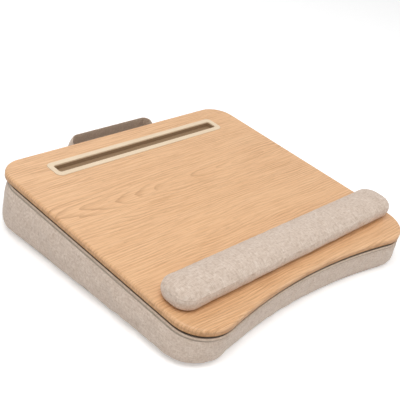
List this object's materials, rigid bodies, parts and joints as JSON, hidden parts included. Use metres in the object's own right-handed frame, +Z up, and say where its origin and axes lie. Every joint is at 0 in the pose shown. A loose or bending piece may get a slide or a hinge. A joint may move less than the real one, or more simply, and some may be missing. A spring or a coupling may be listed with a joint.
{
  "type": "lap tray with cushion",
  "caption": "Wooden lap tray with a curved front, a tablet slot and a wrist rest, on a wedge cushion in linen cloth with a carry handle and a zip.",
  "frame": {"origin": "on the floor under the middle of the board, on the cushion's flat underside", "axes": "+X to the user's right, +Y to the back edge with the handle, +Z up; the board's top face rises 4.8 degrees towards +Y"},
  "size_m": [0.4631, 0.4612, 0.088],
  "materials": {
    "oak_board": "oak-grain veneer on fibreboard, satin",
    "trim_plastic": "cream moulded plastic, satin",
    "linen_cloth": "oatmeal linen-look weave",
    "rest_cloth": "lighter oatmeal linen-look weave",
    "welt_cloth": "linen-covered welt cord",
    "panel_cloth": "plain backing cloth",
    "foam": "open-cell foam",
    "hook_tape": "woven hook tape",
    "loop_tape": "woven loop tape",
    "zip_cloth": "woven zip tape",
    "zip_coil": "nylon coil",
    "zip_metal": "enamelled die-cast metal, satin"
  },
  "bodies": {
    "cushion": {"cover_top_panel": "panel_cloth", "cover_side_panel": "linen_cloth", "cover_base_panel": "panel_cloth", "foam_core": "foam", "cushion_piping": "welt_cloth", "cushion_loop_strips": "loop_tape", "handle_patches": "linen_cloth", "zip_tape": "zip_cloth", "zip_teeth": "zip_coil"},
    "board": {"top_board": "oak_board", "slot_trim": "trim_plastic", "board_hook_strips": "hook_tape", "rest_hook_strips": "hook_tape"},
    "wrist_rest": {"rest_cover": "rest_cloth", "rest_foam": "foam", "rest_base_panel": "panel_cloth", "rest_loop_strips": "loop_tape"},
    "handle": {"handle_strap": "rest_cloth"},
    "slider": {"zip_slider": "zip_metal"},
    "pull_tab": {"zip_pull": "zip_metal"}
  },
  "joints": [
    {"name": "board_lift", "type": "slide", "parent": "cushion", "child": "board", "axis": [0, -0.0837, 0.9965], "range_m": [0, 0.06]},
    {"name": "rest_lift", "type": "slide", "parent": "board", "child": "wrist_rest", "axis": [0, -0.0837, 0.9965], "range_m": [0, 0.06]},
    {"name": "handle_swing", "type": "hinge", "parent": "cushion", "child": "handle", "pos_m": [0.0035, 0.21653, 0.063], "axis": [1, 0, 0], "range_deg": [-62, 26]},
    {"name": "zip_travel", "type": "slide", "parent": "cushion", "child": "slider", "axis": [-1, 0, 0], "range_m": [0, 0.32]},
    {"name": "pull_turn", "type": "hinge", "parent": "slider", "child": "pull_tab", "pos_m": [0.152, 0.22126, 0.03], "axis": [0, 0, -1], "range_deg": [0, 170]}
  ]
}
